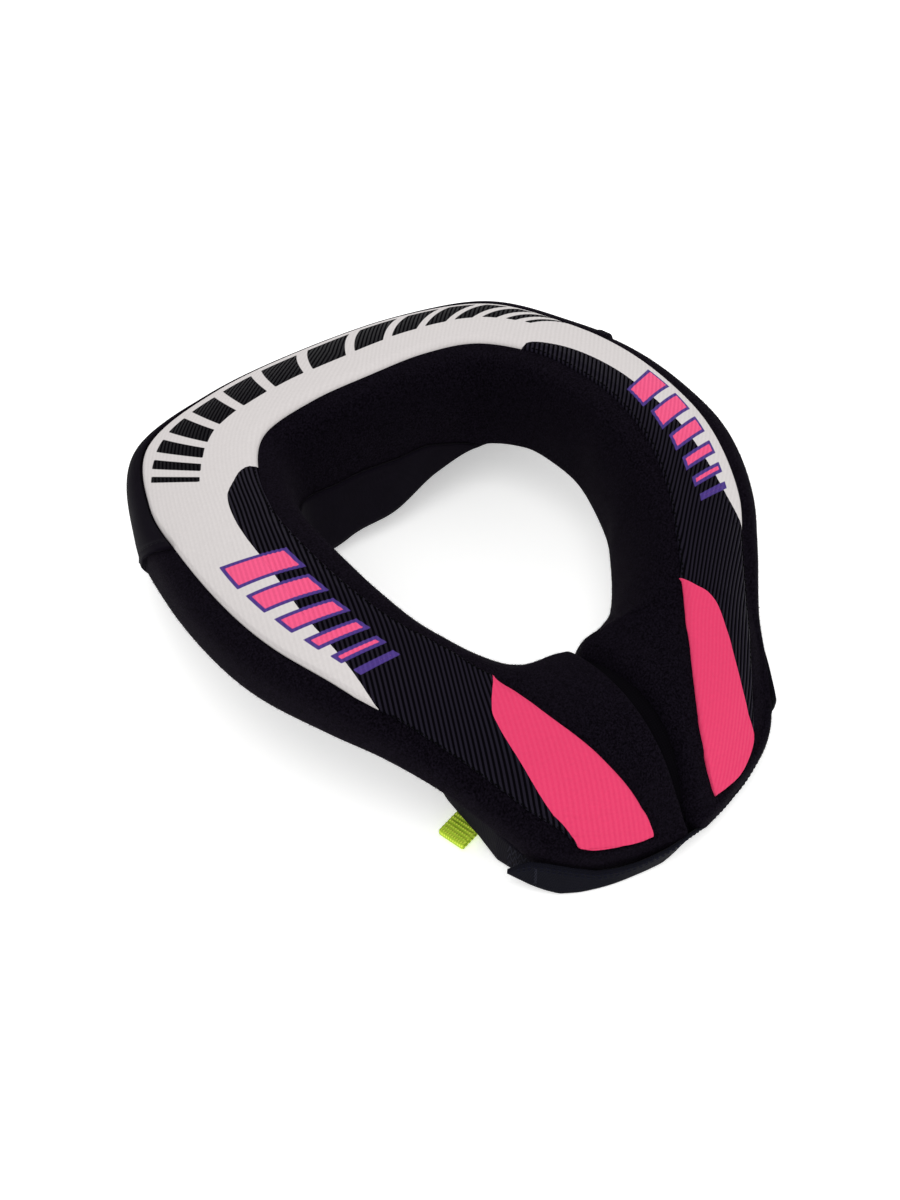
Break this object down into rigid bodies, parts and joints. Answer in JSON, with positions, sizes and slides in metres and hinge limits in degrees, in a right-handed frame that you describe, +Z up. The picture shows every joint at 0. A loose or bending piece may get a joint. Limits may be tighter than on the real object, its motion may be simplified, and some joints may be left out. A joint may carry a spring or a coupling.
{
  "type": "motocross neck roll",
  "caption": "Padded collar that wraps the neck and rests on the shoulders, split at the front over a closure strap, with ribbed cover panels and a fleece neck wall.",
  "frame": {"origin": "centre of the collar's footprint, on the floor it lies on", "axes": "+Z up, -Y towards the front split, +X towards the right side of the picture"},
  "size_m": [0.2506, 0.2995, 0.0872],
  "materials": {
    "fleece": "brushed fleece over foam",
    "white_rib": "fine ribbed cover cloth",
    "black_rib": "fine ribbed cover cloth",
    "pink_rib": "fine ribbed cover cloth",
    "woven_band": "smooth woven cloth",
    "loop_cloth": "smooth loop cloth",
    "navy_strap": "woven strap",
    "lime_webbing": "woven webbing"
  },
  "bodies": {
    "root": {"collar_pad": "fleece", "rear_panel": "white_rib", "side_panel_right": "black_rib", "side_panel_left": "black_rib", "front_panel_right": "pink_rib", "front_panel_left": "pink_rib", "rear_band": "woven_band", "loop_band": "loop_cloth", "closure_strap": "navy_strap", "pull_tab": "lime_webbing"}
  },
  "joints": []
}
